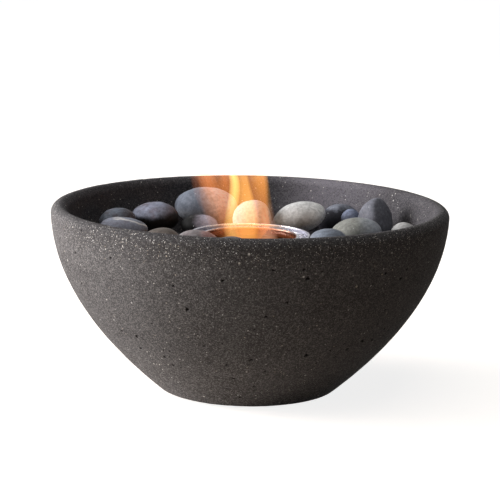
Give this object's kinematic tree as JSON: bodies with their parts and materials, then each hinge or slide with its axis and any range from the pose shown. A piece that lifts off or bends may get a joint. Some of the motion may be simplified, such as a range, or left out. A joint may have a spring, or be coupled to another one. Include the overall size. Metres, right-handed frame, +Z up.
{
  "type": "tabletop fire bowl",
  "caption": "Round cast concrete bowl filled with river pebbles round a lift-out open can of gel fuel, which burns with a small flame on a tabletop.",
  "frame": {"origin": "on the table, under the middle of the bowl", "axes": "+Z up along the axis of the bowl and the can, -Y towards the picture's viewer, +X to the viewer's right"},
  "size_m": [0.286, 0.286, 0.135],
  "materials": {
    "concrete": "dark cast concrete with pale specks and small pits",
    "tin_plate": "bright tin plate",
    "fuel_gel": "clear set gel",
    "pad_rubber": "matt",
    "stone_grey": "smooth river pebble",
    "stone_slate": "smooth river pebble, dark blue-grey",
    "stone_blue": "smooth river pebble, blue-grey",
    "stone_pale": "smooth river pebble, pale grey",
    "stone_olive": "smooth river pebble, olive grey",
    "stone_brown": "smooth river pebble, brown"
  },
  "bodies": {
    "bowl": {"bowl_shell": "concrete", "foot_pad_1": "pad_rubber", "foot_pad_2": "pad_rubber", "foot_pad_3": "pad_rubber", "foot_pad_4": "pad_rubber", "pebble_back_large": "stone_pale", "pebble_back_low": "stone_slate", "pebble_back_middle": "stone_pale", "pebble_back_right": "stone_pale", "pebble_between_01": "stone_slate", "pebble_between_02": "stone_brown", "pebble_between_03": "stone_slate", "pebble_between_04": "stone_grey", "pebble_between_05": "stone_grey", "pebble_between_06": "stone_pale", "pebble_between_07": "stone_blue", "pebble_between_08": "stone_olive", "pebble_between_09": "stone_slate", "pebble_between_10": "stone_brown", "pebble_between_11": "stone_slate", "pebble_between_12": "stone_grey", "pebble_between_13": "stone_grey", "pebble_between_14": "stone_pale", "pebble_between_15": "stone_blue", "pebble_between_16": "stone_olive", "pebble_between_17": "stone_slate", "pebble_between_18": "stone_brown", "pebble_between_19": "stone_slate", "pebble_between_20": "stone_grey", "pebble_between_21": "stone_grey", "pebble_between_22": "stone_pale", "pebble_between_23": "stone_blue", "pebble_between_24": "stone_olive", "pebble_front": "stone_slate", "pebble_front_left": "stone_brown", "pebble_front_right": "stone_blue", "pebble_left_back": "stone_slate", "pebble_left_back_rim": "stone_olive", "pebble_left_near_can": "stone_brown", "pebble_left_rim": "stone_slate", "pebble_right": "stone_olive", "pebble_right_back": "stone_slate", "pebble_right_rim": "stone_pale", "pebble_right_small": "stone_blue", "pebble_right_upright": "stone_blue", "pebbles_bearing": "stone_grey", "pebbles_lower_bed": "stone_grey", "pebbles_middle_bed": "stone_grey", "pebbles_upper_bed": "stone_grey"},
    "fuel_can": {"can_base": "tin_plate", "can_body": "tin_plate", "can_top_ring": "tin_plate", "fuel_gel": "fuel_gel"}
  },
  "joints": [
    {"name": "fuel_can_lift", "type": "slide", "parent": "bowl", "child": "fuel_can", "axis": [0, 0, 1], "range_m": [0, 0.125]}
  ]
}
